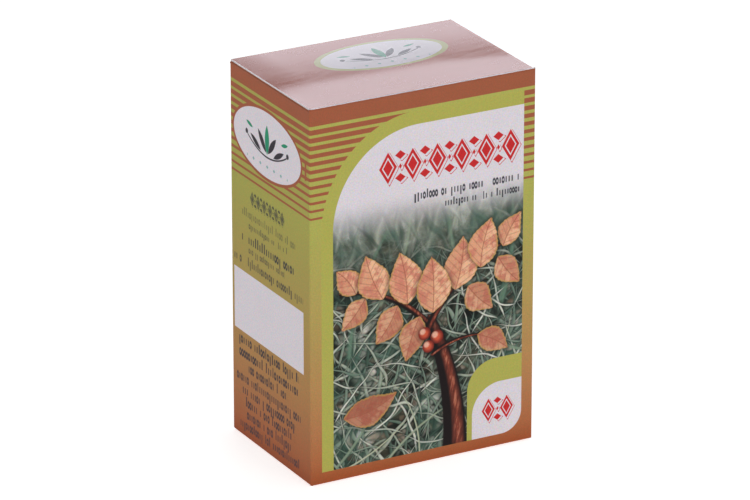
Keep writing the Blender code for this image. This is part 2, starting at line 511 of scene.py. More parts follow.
def board_finish(material, colour, roughness=0.42, fibre=3e-6, warp=None, grain=0.3, evenness=1.0):
    """Joins a colour, fine grain, and a gently uneven gloss into a finished board."""
    tree = material.node_tree
    fine = clouds(tree, FIBRE_SPACING)
    soft = clouds(tree, PATCH_SPACING)
    shader = add_node(tree, "BsdfPrincipled")
    add_node(tree, "OutputMaterial", {0: Flow(tree, shader.outputs[0])})
    speckle = Flow(tree, fine.end.node.outputs["Color"])
    grains = vector_math(tree, "MULTIPLY_ADD", {0: speckle, 1: (2 * grain,) * 3, 2: (1 - grain,) * 3})
    inked_grain = vector_math(tree, "MULTIPLY", {0: grains, 1: colour})
    uneven = vector_math(tree, "SCALE", {0: inked_grain, "Scale": (soft - 0.5) * INK_DRIFT + 1})
    plug(tree, uneven, shader.inputs["Base Color"])
    gloss = (soft - 0.5) * (GLOSS_DRIFT * evenness) + (fine - 0.5) * (GLOSS_GRAIN * evenness) + roughness
    plug(tree, gloss, shader.inputs["Roughness"])
    fibres = Flow(tree, add_node(tree, "Bump", {"Distance": fibre, "Height": fine}).outputs[0])
    height = soft * (WAVE_HEIGHT * evenness)
    if warp:
        height = height + warp
    waves = add_node(tree, "Bump", {"Distance": MM, "Height": height, "Normal": fibres})
    plug(tree, Flow(tree, waves.outputs[0]), shader.inputs["Normal"])
    print(f"{material.name}: {len(tree.nodes)} nodes")
    return material


def plain_board(name, hexcode, roughness):
    """Bare board without print."""
    return board_finish(new_print(name), ink_of(hexcode), roughness, BARE_FIBRE, grain=BARE_GRAIN)


inner_board = plain_board("uncoated_inside", "C9C1BA", 0.8)
cut_edge = plain_board("white_cut_edge", "E0D8DC", 0.35)
white_board = plain_board("coated_white_side", "D2C8CC", 0.6)
grey_board = plain_board("uncoated_grey_side", "BDB5AA", 0.85)

# %% [markdown]
# The front print
# The front carries a window with one large round corner, framed in lime on its left and top sides. A badge
# with a round corner sits at the bottom right, with a white leaf-shaped field in it.

# %% Front panel
FRONT_RIGHT_STRIP = 66.35
FRONT_BOTTOM_BAND = 106.5


def rounded_from(across, down, centre, radii):
    """Distance inside a shape whose top left corner is part of an ellipse, open to the right and down."""
    out_across = (centre[0] - across).most(0) / radii[0]
    out_down = (centre[1] - down).most(0) / radii[1]
    return (1 - length_of(out_across, out_down)) * min(radii)


# %% [markdown]
# Ornaments in a row
# Where the name would stand, the carton has a border of the same height: tall lozenges with a fine line
# inside, and small ones in the corners between them, as woven bands have. A thin line of the same shape,
# moved a little to the right and down, gives it the look of a shadow, and a white gap parts the two.

# %% Border of lozenges
ORNAMENT_PITCH = 7.65


def lozenge(across, down, half_width, half_height):
    """Distance inside a lozenge round the origin."""
    slope = half_width * half_height / math.hypot(half_width, half_height)
    return (1 - abs(across) / half_width - abs(down) / half_height) * slope


def with_shadow(draw, across, down):
    """Ink of a shape and of the thin line of its shadow."""
    shape = draw(across, down)
    moved = draw(across - 0.5, down - 0.45)
    line = (moved + 0.2).ink() * (1 - moved.ink()) * (1 - (shape + 0.28).ink())
    return shape.ink().most(line)


def tall_lozenge(across, down):
    """A tall lozenge with a fine open line inside."""
    outside = lozenge(across, down, 2.75, 4.6)
    return outside.least(abs(outside - 0.92) - 0.17)


def corner_lozenges(across, down):
    """Small lozenges between the tall ones, above and below, and a bead in the middle."""
    beside = ORNAMENT_PITCH / 2 - abs(across)
    return lozenge(beside, abs(down) - 3.3, 1.65, 1.3).most(lozenge(beside, down, 0.5, 0.8))


def draw_ornament(across, down):
    """Ink of one tall lozenge, and of the small ones at both sides of it."""
    return with_shadow(tall_lozenge, across, down), with_shadow(corner_lozenges, across, down)


ornament = stencil("ornament", draw_ornament, "tall", "small")


def ornament_row(across, down, left, middle, count, size=1.0):
    """Ink of a row of tall lozenges from left on, with small ones only between them."""
    pitch = ORNAMENT_PITCH * size
    from_left = across - left
    in_cell = (from_left / pitch).do("FRACT") * ORNAMENT_PITCH - ORNAMENT_PITCH / 2
    tall, small = stamp(across.tree, ornament, in_cell, (down - middle) / size)
    in_row = from_left.least(count * pitch - from_left)
    return (tall * in_row.ink()).most(small * (in_row - 2.4 * size).ink())


# %% [markdown]
# Lines of fine print
# Fine print is only suggested: short upright strokes and small rings in uneven groups, some of them taller.
# White noise gives each mark its own chance, from nothing but its number along the line.

# %% Rows of strokes and rings
def draw_strokes(across, down, left, right, middle, half, pitch, seed):
    """Ink of a line of short marks."""
    from_left = across - left
    number = (from_left / pitch).do("FLOOR")
    chances = chance_of(number + seed)
    tall, gap, wide = (chances[0] - 0.78).ink(0.02), (0.15 - chances[1]).ink(0.02), chances[2]
    height = half * (0.64 + tall * 0.36)
    lifted = down - middle + half * 0.36 * tall * (1 - 2 * (chances[0] - 0.92).ink(0.02))
    beside = abs(from_left - number * pitch - pitch / 2)
    stroke = (pitch * (0.17 + 0.1 * wide) - beside).least(height - abs(lifted))
    reach = pitch * 0.36
    ring = pitch * 0.17 - abs(1 - length_of(beside / reach, (down - middle) / (half * 0.56))) * reach
    ringed = (chances[2] - 0.6).ink(0.02) * (0.78 - chances[0]).ink(0.02)
    inside = stroke + (ring - stroke) * ringed
    return (inside.least(from_left, right - across) - gap * 9).ink(0.16)


strokes = stencil("strokes", draw_strokes, "ink")

# %% [markdown]
# The blossom in the oval
# The oval fields carry a plain blossom, the same on both halves: one green petal, dark ones beside it, a
# curved stem below and a row of fine beads. Everything is drawn for one half, with the distance from the
# middle line, so the other half comes by itself.

# %% Blossom
def draw_blossom(across, down):
    """The blossom round the centre of an oval: its dark ink, its green ink and its beads."""
    beside = abs(across)
    heart = petal(across, down + 1.5, 1.25, 4.3)
    dark = petal(*turned(beside - 2.9, down + 0.5, 40), 1.0, 3.7)
    dark = dark.most(petal(*turned(beside - 6.7, down - 1.0, 62), 0.8, 3.4))
    stem = 0.24 - abs(down - 3.5 + beside * beside * 0.026)
    dark = dark.most(stem.least(11.4 - beside), 0.75 - length_of(beside - 11.9, down + 0.5))
    leaf = petal(*turned(beside - 10.2, down + 3.1, 75), 0.55, 2.0)
    in_cell = ((across + 14) / 4).do("FRACT") * 4 - 2
    bead = lozenge(in_cell, down - 6.3, 0.62, 0.55).least(11.9 - beside)
    return dark.ink(), heart.most(leaf).ink(), bead.ink()


blossom = stencil("blossom", draw_blossom, "dark", "green", "beads")
BLOSSOM_DARK = ink_of("3C383E")
BLOSSOM_GREEN = ink_of("1E8A68")
BEAD_TEAL = ink_of("7FA9A4")


def oval_field(under, across, down, centre, outer, inner, ring):
    """An oval white field with a coloured ring and a blossom in it."""
    x, y = across - centre[0], down - centre[1]
    for (wide, tall), colour in ((outer, ring), (inner, PAPER)):
        under = coat(under, colour, ((1 - length_of(x / wide, y / tall)) * tall).ink())
    dark, green, beads = stamp(across.tree, blossom, x, y)
    under = coat(under, BLOSSOM_DARK, dark)
    under = coat(under, BEAD_TEAL, beads)
    return coat(under, BLOSSOM_GREEN, green)


# %% [markdown]
# A meadow and a spray of leaves
# The large picture is a soft grey-green meadow with a spray of orange autumn leaves in front. Its shapes are
# drawn first. Every leaf is one stencil: a pointed outline along a bent rib, with a toothed, yellowish rim,
# side veins, mottled orange skin, and a soft shadow on what lies behind it. Blades of grass, twigs and
# berries are drawn in the same way.

# %% Leaf, blade, twig and berry
PRINT_EDGE = 0.26
ORANGE, SALMON, RUSSET = ink_of("D79C7A"), ink_of("C98069"), ink_of("8F4A38")
GLOW = ink_of("E6B792")
LEAF_RIM = ink_of("B5954C")
LEAF_RIB = ink_of("A05A45")
SHADOW = ink_of("24261F")


def along_rib(across, down, root_across, root_down, cosine, sine, length, bend):
    """Place along a bent rib, its share of the length, the distance beside it, and how far past its ends."""
    x, y = across - root_across, down - root_down
    along = x * cosine + y * sine
    share = (along / length).kept()
    beside = y * cosine - x * sine - share * (1 - share) * 4 * bend
    return along, share, beside, (0 - along).most(along - length, 0)


def shade_below(under, inside, reach, depth):
    """Darkens what lies round a shape, as its soft shadow does."""
    return coat(under, SHADOW, ((inside + reach) / reach).kept() * depth)


def draw_leaf(under, across, down, root_across, root_down, cosine, sine, length, half, bend, tone, cloud):
    """One autumn leaf over what lies under it. Its cloud makes skin, rim and outline uneven."""
    along, share, beside, past = along_rib(across, down, root_across, root_down, cosine, sine, length, bend)
    width = share * (1 - share) * 4 * half * (1.38 - share * 0.76)
    teeth = abs((along * 0.8).do("FRACT") - 0.5) * 0.35
    inside = width - abs(beside) - past * 2 - teeth - (cloud - 0.45) * 0.9
    skin = coat(ORANGE, SALMON, cloud.between(0.42, 0.6))
    skin = coat(skin, GLOW, beside.ink(1.4) * cloud.between(0.62, 0.4) * 0.75)
    skin = coat(skin, RUSSET, tone + beside.ink(0.8) * -0.12)
    vein = abs(((along - abs(beside) * 0.8) * 0.47).do("FRACT") - 0.5)
    skin = coat(skin, LEAF_RIB, (0.09 - vein).ink(0.12) * 0.4)
    skin = coat(skin, LEAF_RIM, (0.3 - inside + (cloud - 0.5) * 1.5).ink(0.7) * 0.8)
    skin = coat(skin, LEAF_RIB, (0.15 - abs(beside)).ink(0.2) * 0.75)
    return coat(shade_below(under, inside, 1.6, 0.55), skin, inside.ink(PRINT_EDGE))


def draw_blade(under, across, down, root_across, root_down, cosine, sine, length, half, bend, tone, blur):
    """One blade of grass, darker along one side. It is out of focus where blur is large."""
    along, share, beside, past = along_rib(across, down, root_across, root_down, cosine, sine, length, bend)
    inside = half * (1 - share * share) - abs(beside) - past
    skin = coat(ink_of("4F7461"), ink_of("B3B79C"), tone)
    skin = coat(skin, ink_of("37463B"), (beside / half).between(0.1, 1) * 0.7)
    return coat(under, skin, (inside / blur + 0.5).kept() * 0.9)


def draw_twig(under, across, down, root_across, root_down, cosine, sine, length, half, bend, tip_half, cloud):
    """A piece of dark twig with a red-brown sheen along one side."""
    along, share, beside, past = along_rib(across, down, root_across, root_down, cosine, sine, length, bend)
    thick = half + share * (tip_half - half)
    inside = thick - abs(beside) - past
    sheen = 1 - abs(beside / thick - 0.3) * 1.7
    skin = coat(ink_of("2C2628"), ink_of("8B4232"), (sheen * (cloud * 2.6 - 0.35)).kept())
    skin = coat(skin, ink_of("BE7C62"), (sheen - 0.62).ink(0.5) * cloud.between(0.5, 0.66) * 0.6)
    return coat(shade_below(under, inside, 1.8, 0.5), skin, inside.ink(PRINT_EDGE))


def draw_berry(under, across, down, x, y, radius):
    """A round berry with a soft light spot."""
    inside = radius - length_of(across - x, down - y)
    skin = coat(ink_of("7A2E20"), ink_of("C7553A"), (inside / radius).between(0, 0.75))
    glint = radius * 0.45 - length_of(across - x + radius * 0.3, down - y + radius * 0.35)
    skin = coat(skin, ink_of("E9B79E"), glint.ink(0.5) * 0.75)
    return coat(shade_below(under, inside, 1.2, 0.5), skin, inside.ink(PRINT_EDGE))


leaf_stencil = stencil("autumn_leaf", draw_leaf, "colour")
blade_stencil = stencil("grass_blade", draw_blade, "colour")
twig_stencil = stencil("twig", draw_twig, "colour")
berry_stencil = stencil("berry", draw_berry, "colour")


def stamp_along(under, grid, group, start, end, *rest):
    """Stamps a long shape between two places on a panel."""
    x, y = end[0] - start[0], end[1] - start[1]
    length = math.hypot(x, y)
    return stamp(under.tree, group, under, *grid, *start, x / length, y / length, length, *rest)


# %% [markdown]
# The meadow
# The ground of the picture is clear below and out of focus above, as in a close view. Soft clouds give its
# light and dark patches, and flecks of litter. Over them lie eleven layers of grass. Each is one stencil of
# slanting rows, with one blade in each cell of a row, placed, bent and toned by chance.

# %% Meadow
MEADOW_TONES = [(0.14, "161A16"), (0.32, "343A32"), (0.46, "575F54"), (0.58, "7A8176"), (0.7, "9FA399"),
                (0.86, "C6C8C2")]
GRASS_TONES = [(0.0, "232B25"), (0.25, "4A6054"), (0.5, "7E8F7F"), (0.75, "ADB3A2"), (1.0, "D0D1C5")]
LITTER = [(0.0, "3A332D"), (0.35, "6A5A4C"), (0.6, "8D7C6B"), (0.8, "A79E8E"), (1.0, "C9C0B2")]
HAZE_TOP, HAZE_END = 40, 60
GRASS_SEED = 5.3
# Each layer of grass: the way it lies, a blade's length, the spacing of its rows, half width, bend, blur,
# darkest and lightest tone, and whether it belongs to the clear part below.
GRASSES = [(-97, 24, 5.0, 0.9, 1.2, 1.4, 0.1, 0.6, 0), (-68, 27, 6.0, 0.8, 1.4, 1.5, 0.3, 0.85, 0),
           (-125, 24, 6.0, 0.7, 1.4, 1.3, 0.15, 1.0, 0), (-12, 15, 3.4, 0.7, 0.7, 0.4, -0.15, 0.25, 1),
           (-62, 17, 3.6, 0.62, 0.8, 0.36, -0.1, 0.45, 1), (-142, 16, 3.6, 0.5, 0.8, 0.3, 0.05, 0.7, 1),
           (-30, 20, 4.2, 0.44, 1.1, 0.25, 0.1, 0.9, 1), (-82, 19, 4.4, 0.46, 1.0, 0.25, 0.0, 0.6, 1),
           (-112, 21, 5.6, 0.34, 1.3, 0.2, 0.3, 1.0, 1), (-48, 22, 6.4, 0.3, 1.4, 0.2, 0.45, 1.1, 1),
           (-163, 18, 6.0, 0.28, 1.2, 0.2, 0.4, 1.1, 1)]


def draw_grass(under, across, down, cosine, sine, length, spacing, half, bend, blur, low, high, seed, cover):
    """A whole layer of grass: one blade, by chance, in each cell of slanting rows."""
    along = across * cosine + down * sine
    beside = down * cosine - across * sine
    row = (beside / spacing).do("FLOOR")
    in_row = along / length + chance_of(row + seed)[0]
    cell = in_row.do("FLOOR")
    share = in_row - cell
    aside, bow, tone = chance_of(cell * 7.31 + row * 1.93 + seed)
    middle = (row + 0.5) * spacing + (aside - 0.5) * (spacing - half * 2 - bend * 2)
    off_middle = beside - middle - (share * (1 - share) * 4 - 0.5) * (bow - 0.5) * 2 * bend
    width = half * (share * 7).least(1) * (1 - share * share)
    inside = width - abs(off_middle)
    colour = coat(under, SHADOW, ((inside + 0.5) / 0.5).kept() * cover * 0.55)
    skin = grade(low + tone * (high - low) + off_middle / half * 0.1, inked(GRASS_TONES))
    return coat(colour, skin, (inside / blur + 0.4).kept() * cover)


grass_stencil = stencil("grass_layer", draw_grass, "colour")


def meadow(across, down):
    """The soft ground of the picture: clear below, and out of focus above."""
    tree = across.tree
    drift = clouds(tree, (15, 15), detail=1)
    sway = clouds(tree, (13, 17), 40, detail=1)
    patches = clouds(tree, (12, 12), detail=5, roughness=0.66, distortion=0.4)
    hue = clouds(tree, (9, 7))
    cells = add_node(tree, "TexVoronoi", {"Vector": on_object(tree, (4.6, 2.7), 30), "Scale": 1})
    middle = Flow(tree, cells.outputs["Distance"])
    first, second = channels_of(Flow(tree, cells.outputs["Color"]))[:2]
    clear = down.between(HAZE_TOP, HAZE_END)
    light = 0.5 + (patches - 0.5) * (1.1 + 1.1 * clear) + (drift - 0.5) * 0.4
    colour = grade(light + (1 - down.between(28, 46)) * 0.16 - clear * 0.12, inked(MEADOW_TONES))
    litter = grade(first * 0.8 + (middle - 0.5) * 0.3 + (patches - 0.5) * 0.9 + 0.1, inked(LITTER))
    colour = coat(colour, litter, (second - 0.5).ink(0.1) * (0.6 - middle).ink(0.16) * clear * 0.8)
    x, y = across + (drift - 0.5) * 9, down + (sway - 0.5) * 9
    for number, (turn, *blades, is_clear) in enumerate(GRASSES):
        cosine, sine = math.cos(math.radians(turn)), math.sin(math.radians(turn))
        cover = clear * 0.92 if is_clear else 0.75 - clear * 0.5
        colour = stamp(tree, grass_stencil, colour, x, y, cosine, sine, *blades, number * GRASS_SEED, cover)
    colour = coat(colour, ink_of("44695A"), hue.between(0.5, 0.66) * 0.3)
    return coat(colour, ink_of("6A6450"), hue.between(0.43, 0.32) * 0.22)


# %% [markdown]
# The spray
# Blades, twigs, leaves and berries are each stamped between two places on the panel, their root and their
# tip, and from back to front, so that the later ones cover the earlier ones.

# %% Spray of leaves
# Each blade: its root, its tip, half width, bend, tone and blur.
BLADES = [((12, 74), (24, 39), 0.8, -2.5, 0.1, 1.3), ((22, 60), (31, 36), 0.7, 2.0, 0.5, 1.5),
          ((50, 60), (43, 34), 0.8, -2.0, 0.2, 1.5), ((60, 66), (63, 37), 0.9, 1.5, 0.1, 1.3),
          ((8, 106), (23, 78), 0.5, 3.0, 0.35, 0.3), ((24, 107), (52, 92), 0.42, -2.5, 0.6, 0.3),
          ((66, 82), (50, 70), 0.5, -1.6, 0.3, 0.4), ((11, 107), (31, 95), 0.3, 1.5, 1.0, 0.16),
          ((34, 107), (25, 84), 0.28, 2.4, 0.9, 0.16), ((55, 90), (63, 70), 0.3, 1.3, 0.95, 0.2)]
TWIGS = [((45, 108), (37, 68), 3.9, 2.4, 2.0), ((37.4, 70), (9, 55), 1.2, 3.6, 0.4),
         ((36.6, 70), (64, 48), 1.3, -3.8, 0.4), ((38, 78), (53, 75), 0.8, -1.2, 0.35)]
# Each leaf: its root, its tip, half width, bend and how red it is.
LEAVES = [((17, 57.5), (9.5, 66), 3.6, -0.5, 0.35), ((27, 61.5), (20, 72), 4.2, -0.8, 0.42),
          ((34, 66), (29.5, 79), 4.2, 0.5, 0.5), ((49, 60), (57, 68), 4.3, 0.6, 0.4),
          ((58.5, 53), (65.6, 62), 3.8, 0.6, 0.3), ((52, 75), (62, 81), 3.7, -0.6, 0.5),
          ((14, 56), (7.8, 48), 3.8, 0.8, 0.12), ((22.5, 59), (17, 45), 4.9, -0.7, 0.05),
          ((45, 60.5), (47.5, 45), 5.2, 0.8, 0.1), ((60, 50.5), (65.8, 41), 3.6, -0.6, 0.15),
          ((30, 62), (27.5, 46), 5.3, 0.7, 0.0), ((53, 55.5), (56.5, 41), 4.8, -0.8, 0.02),
          ((38, 66), (37.5, 49), 5.4, 0.5, 0.08), ((10, 92), (27, 87), 4.4, 1.6, 0.75)]
BERRIES = [(35.4, 71.6, 1.9), (39.3, 73.2, 2.0), (36.6, 75.6, 1.8)]


def picture(across, down):
    """The whole picture: meadow, blades, twigs, leaves and berries."""
    grid = (across, down)
    cloud = clouds(across.tree, (2.5, 2.5), detail=4, roughness=0.6)
    bark = clouds(across.tree, (3, 0.7), -80, detail=3)
    colour = meadow(across, down)
    for start, end, half, bend, tone, blur in BLADES:
        colour = stamp_along(colour, grid, blade_stencil, start, end, half, bend, tone, blur)
    for start, end, half, bend, tip_half in TWIGS:
        colour = stamp_along(colour, grid, twig_stencil, start, end, half, bend, tip_half, bark)
    for start, end, half, bend, tone in LEAVES:
        colour = stamp_along(colour, grid, leaf_stencil, start, end, half, bend, tone, cloud)
    for x, y, radius in BERRIES:
        colour = stamp(across.tree, berry_stencil, colour, across, down, x, y, radius)
    return colour


# %% [markdown]
# The front print, put together
# The print is laid down from the ground up: the lime frame, the window with its picture, the border and two
# lines of fine print, and then the badge in the corner with a small border of its own.

# %% Front print
FRAME_CURVE = ((32.9, 36.6), (29.5, 30.75))
WINDOW_CURVE = ((33.4, 37.0), (26.4, 27.2))
BADGE_CURVE = ((57.8, 92.05), (8.8, 8.8))
FIELD_CURVE = ((59.6, 99.5), (9.0, 9.0))
FIELD_CORNER = (60.05, 100.2)
FIELD_RADIUS = 6.3
PICTURE_FADE = (28.5, 41)
# Each line under the border: its left end, its middle, half height, pitch and chance.
FRONT_LINES = ((31.9, 30.8, 1.3, 0.95, 3.3), (41.5, 34.4, 1.1, 0.85, 8.7))
FRONT_LINES_END = 65.1

front_print = new_print("front_print")
tree = front_print.node_tree
across, down = grid_of(tree, (0, 1, HALF_WIDTH), (2, -1, HEIGHT))
ground = wall_ground(down)
right_side = FRONT_RIGHT_STRIP - across
above_bottom = FRONT_BOTTOM_BAND - down
frame_shape = rounded_from(across, down, *FRAME_CURVE).least(right_side, above_bottom)
colour = coat(ground, LIME, frame_shape.least(down - BAND_HEIGHT).ink())
window = rounded_from(across, down, *WINDOW_CURVE).least(right_side, above_bottom).ink()
inside = coat(PAPER, picture(across, down), down.between(*PICTURE_FADE))
inside = coat(inside, RED, ornament_row(across, down, 20.1, 21.0, 6))
for left, *marks in FRONT_LINES:
    inside = coat(inside, DARK, stamp(tree, strokes, across, down, left, FRONT_LINES_END, *marks))
colour = coat(colour, inside, window)
badge = rounded_from(across, down, *BADGE_CURVE).least(right_side, above_bottom)
colour = coat(colour, LIME, badge.ink())
corner_across, corner_down = across - FIELD_CORNER[0], down - FIELD_CORNER[1]
round_corner = FIELD_RADIUS - length_of(corner_across.most(0), corner_down.most(0))
colour = coat(colour, ground, (0 - round_corner).least(corner_across, corner_down).ink())
leaf_field = rounded_from(across, down, *FIELD_CURVE).least(round_corner, right_side)
colour = coat(colour, PAPER, leaf_field.ink())
colour = coat(colour, RED, ornament_row(across, down, 52.9, 98.6, 2, 0.76))
board_finish(front_print, colour)

# %% [markdown]
# The side prints
# The left side has an oval field across the stripes, lines of fine print, and a blank white plate for a date.
# A short brown bar joins the stripes beside the oval. The right side, which the photograph doesn't show, has
# the same oval and plain lines, and the back has a framed white panel of the same kind.

# %% Side and back prints
OVAL_DOWN = 18.2
OVAL_RING = (20.5, 10.4)
OVAL_WHITE = (19.6, 9.5)
# Each block: its middle across and down, half its width and half its height.
STRIPE_BAR = (44.5, 18.2, 0.5, 2.9)
DATE_PLATE = (22.45, 69.15, 20.45, 9.15)
# Each line of fine print: its left and right end, its middle, half height, pitch, and how dark it is.
SIDE_LINES = [(5.7, 38.3, 42.4, 1.2, 1.1, 0.5), (10, 33.4, 45.6, 0.95, 0.95, 0.75),
              (6.5, 37.3, 49.9, 1.45, 1.3, 0.95), (10.7, 32, 52.9, 0.95, 0.95, 0.7),
              (1.9, 42.7, 56.8, 1.3, 1.15, 0.85), (4.3, 39.9, 80.9, 1.45, 1.3, 0.95),
              (4.6, 39.4, 84.9, 1.5, 1.3, 0.95), (9.8, 33, 88.6, 1.45, 1.2, 0.9),
              (3, 40.9, 92.4, 1.45, 1.2, 0.88), (6.2, 37.6, 96, 1.45, 1.2, 0.9),
              (8.1, 35.4, 99.5, 1.45, 1.2, 0.9), (8.9, 35, 103, 1.45, 1.2, 0.9),
              (4.6, 40.3, 106.5, 1.35, 1.15, 0.85)]


def block(across, down, middle_across, middle_down, half_width, half_height):
    """Distance inside an upright block."""
    return (half_width - abs(across - middle_across)).least(half_height - abs(down - middle_down))


def fine_print(under, across, down, lines, seed):
    """Rows of small dark strokes and rings."""
    for number, (left, right, middle, half, pitch, strength) in enumerate(lines):
        row = stamp(across.tree, strokes, across, down, left, right, middle, half, pitch, seed + number * 3.7)
        under = coat(under, DARK, row * strength)
    return under


def side_print(name, towards, oval_middle, border_left, lines, seed, bar=None, plate=None):
    """The print of a side wall, which is read towards the front or towards the back."""
    material = new_print(name)
    across, down = grid_of(material.node_tree, (1, towards, HALF_DEPTH), (2, -1, HEIGHT))
    colour = wall_ground(down, SIDE_INK)
    if bar:
        colour = coat(colour, BROWN, block(across, down, *bar).ink())
    colour = oval_field(colour, across, down, (oval_middle, OVAL_DOWN), OVAL_RING, OVAL_WHITE, BROWN)
    if plate:
        colour = coat(colour, PAPER, block(across, down, *plate).ink())
    colour = coat(colour, DARK, ornament_row(across, down, border_left, 36.9, 6, 0.46) * 0.85)
    return board_finish(material, fine_print(colour, across, down, lines, seed))


RIGHT_LINES = [(6, 41 - 5 * (row % 4 == 3) - 3 * (row % 3 == 1), 44 + 3.7 * row, 1.35, 1.15, 0.75)
               for row in range(16)]
left_print = side_print("left_print", -1, 22.2, 11.4, SIDE_LINES, 0, STRIPE_BAR, DATE_PLATE)
right_print = side_print("right_print", 1, 24.8, 14.0, RIGHT_LINES, 50)

BACK_FRAME_CURVE = ((32.6, 36.6), (29.1, 30.8))
BACK_WINDOW_CURVE = ((33.4, 37.0), (26.2, 27.3))
BACK_LINES = [(12, 58 - 14 * (row % 5 == 4) - 2 * (row % 2), 34 + 4.0 * row, 1.35, 1.15, 0.85)
              for row in range(16)]
back_print = new_print("back_print")
across, down = grid_of(back_print.node_tree, (0, -1, HALF_WIDTH), (2, -1, HEIGHT))
ground = wall_ground(down)
above_bottom = FRONT_BOTTOM_BAND - down
frame_shape = rounded_from(across, down, *BACK_FRAME_CURVE).least(66.5 - across, above_bottom)
colour = coat(ground, LIME, frame_shape.least(down - BAND_HEIGHT).ink())
window = rounded_from(across, down, *BACK_WINDOW_CURVE).least(62.8 - across, 102.8 - down)
colour = coat(colour, PAPER, window.ink())
colour = coat(colour, RED, ornament_row(across, down, 20.9, 21.0, 5))
board_finish(back_print, fine_print(colour, across, down, BACK_LINES, 120))

# %% [markdown]
# The lid's print and gloss
# The lid is plain brown with an oval field. Seen at a low angle its varnish mirrors the bright card behind
# the carton. The lid isn't perfectly flat: it drops a little towards the middle and along its left edge,
# which turns the mirror image away and leaves a darker band there. That unevenness goes into the bump.

# %% Lid and bottom prints
LID_BROWN = ink_of("AC5A42")
LID_RING = ink_of("A9A75E")
LID_LEAN, LID_LEAN_END = 0.105, 29
EDGE_LEAN, EDGE_WIDTH = 0.27, 11
CORNER_FROM, CORNER_TO = 34, 46
WORN_FROM = 46.1

lid_print = new_print("lid_print")
tree = lid_print.node_tree
across, down = grid_of(tree, (0, 1, HALF_WIDTH), (1, -1, HALF_DEPTH))
streak = clouds(tree, (9, 2.2), 8, detail=2, axis=2)
# A thin white line is painted along the lid's front fold.
worn = (down - WORN_FROM + (streak - 0.5) * 0.12).ink(0.12) * 0.92
colour = coat(LID_BROWN, BROWN, streak.between(0.4, 0.6) * 0.12)
colour = oval_field(colour, across, down, (38.4, 16.8), (20.2, 10.5), (18.3, 9.35), LID_RING)
colour = coat(colour, PAPER, worn)
bowed = down - (across - 50).most(0) * 0.2 - (across - 30) * 0.03 + (streak - 0.5) * 0.7
slope_end = bowed.most(0).do("SMOOTH_MIN", LID_LEAN_END, 5)
edge = (EDGE_WIDTH - across).do("SMOOTH_MAX", 0, 2)
fading = (1.05 - down * 0.03).most(0.69 - down * 0.012)
fading = fading * (1 - ((down - CORNER_FROM) / (CORNER_TO - CORNER_FROM)).kept())
middle_drop = slope_end * slope_end * (-LID_LEAN / 2 / LID_LEAN_END)
warp = middle_drop - edge * edge * fading * (EDGE_LEAN / 2 / EDGE_WIDTH)
board_finish(lid_print, colour, roughness=0.27, fibre=4e-7, warp=warp, grain=0.03, evenness=0.15)

bottom_print = board_finish(new_print("bottom_print"), ink_of("954D2B"))

# %% [markdown]
# The front wall
# On the real blank the four walls hang together at vertical creases. Each is made as a piece of its own
# here, so that every print gets its own sharp texture when the model is baked. The front wall takes both of
# its vertical folds with it. Its foot turns in round a short lip, which is the crease of the glued bottom,
# and its top is a free cut edge, where the white board shows.

# %% Front wall
FOLD_X = HALF_WIDTH - FOLD
FOLD_Y = HALF_DEPTH - FOLD
FOOT_DROP = 0.4
CLOSE_BY = 0.02


def near(value, target):
    """Says whether a coordinate is at a place."""
    return abs(value - target) < CLOSE_BY


front_middle = (0, -HALF_DEPTH, (HEIGHT + FOLD) / 2)
front_wall = new_sheet("front_wall", front_middle, (2 * FOLD_X, HEIGHT - FOLD), "front")
for side in (-1, 1):
    pick(front_wall, lambda x, y, z: near(x, side * FOLD_X))
    crease((side * FOLD_X, -FOLD_Y, 0), (0, 0, 1), side * 90)
pick(front_wall, lambda x, y, z: near(z, FOLD) and abs(x) > FOLD_X - CLOSE_BY)
push_out(0, 0, -FOOT_DROP)
pick(front_wall, lambda x, y, z: near(z, FOLD) and near(y, -HALF_DEPTH) and abs(x) < FOLD_X + CLOSE_BY)
crease((0, -FOLD_Y, FOLD), (1, 0, 0), 90)
thicken(front_wall)
soften_cut(front_wall, lambda x, y, z: near(z, HEIGHT))
finish_piece(front_wall, "box", ["sleeve"], "printed_green", front_print)

# %% [markdown]
# The side walls
# The left wall ends at the rear in the glue flap: it folds in and lies flat against the inside of the back
# wall, where it is glued. The flap's far edge is shorter, so that it never catches. The right wall is a
# plain panel between two folds. Both stop below the lid, where their dust flaps fold in.

# %% Left and right walls
GLUE_FLAP = 12
GLUE_FLAP_TAPER = 0.9
FLAP_CREASE = SIDE_TOP - FOLD
REAR_FOLD_Y = FOLD_Y - BOARD

side_height = FLAP_CREASE - FOLD
side_middle = (FLAP_CREASE + FOLD) / 2
left_wall = new_sheet("left_wall", (-HALF_WIDTH, (REAR_FOLD_Y - FOLD_Y) / 2, side_middle),
                      (REAR_FOLD_Y + FOLD_Y, side_height), "left")
pick(left_wall, lambda x, y, z: near(y, REAR_FOLD_Y))
crease((-FOLD_X, REAR_FOLD_Y, 0), (0, 0, 1), -90)
push_out(GLUE_FLAP, 0, 0)
bpy.ops.transform.resize(value=(1, 1, GLUE_FLAP_TAPER))
pick(left_wall, lambda x, y, z: near(z, FOLD) and near(x, -HALF_WIDTH))
crease((-FOLD_X, 0, FOLD), (0, 1, 0), -90)
thicken(left_wall)
finish_piece(left_wall, "box", ["sleeve"], "printed_green", left_print)

right_wall = new_sheet("right_wall", (HALF_WIDTH, 0, side_middle), (2 * FOLD_Y, side_height), "right")
pick(right_wall, lambda x, y, z: near(z, FOLD) and near(x, HALF_WIDTH))
crease((FOLD_X, 0, FOLD), (0, 1, 0), 90)
thicken(right_wall)
finish_piece(right_wall, "box", ["sleeve"], "printed_green", right_print)

# %% [markdown]
# The back wall and the bottom
# The back wall lies over the glue flap, so its left edge is a cut edge, just inside the corner. Its right
# side folds round to the right wall. The outer bottom flap hangs on the back wall and closes the underside.

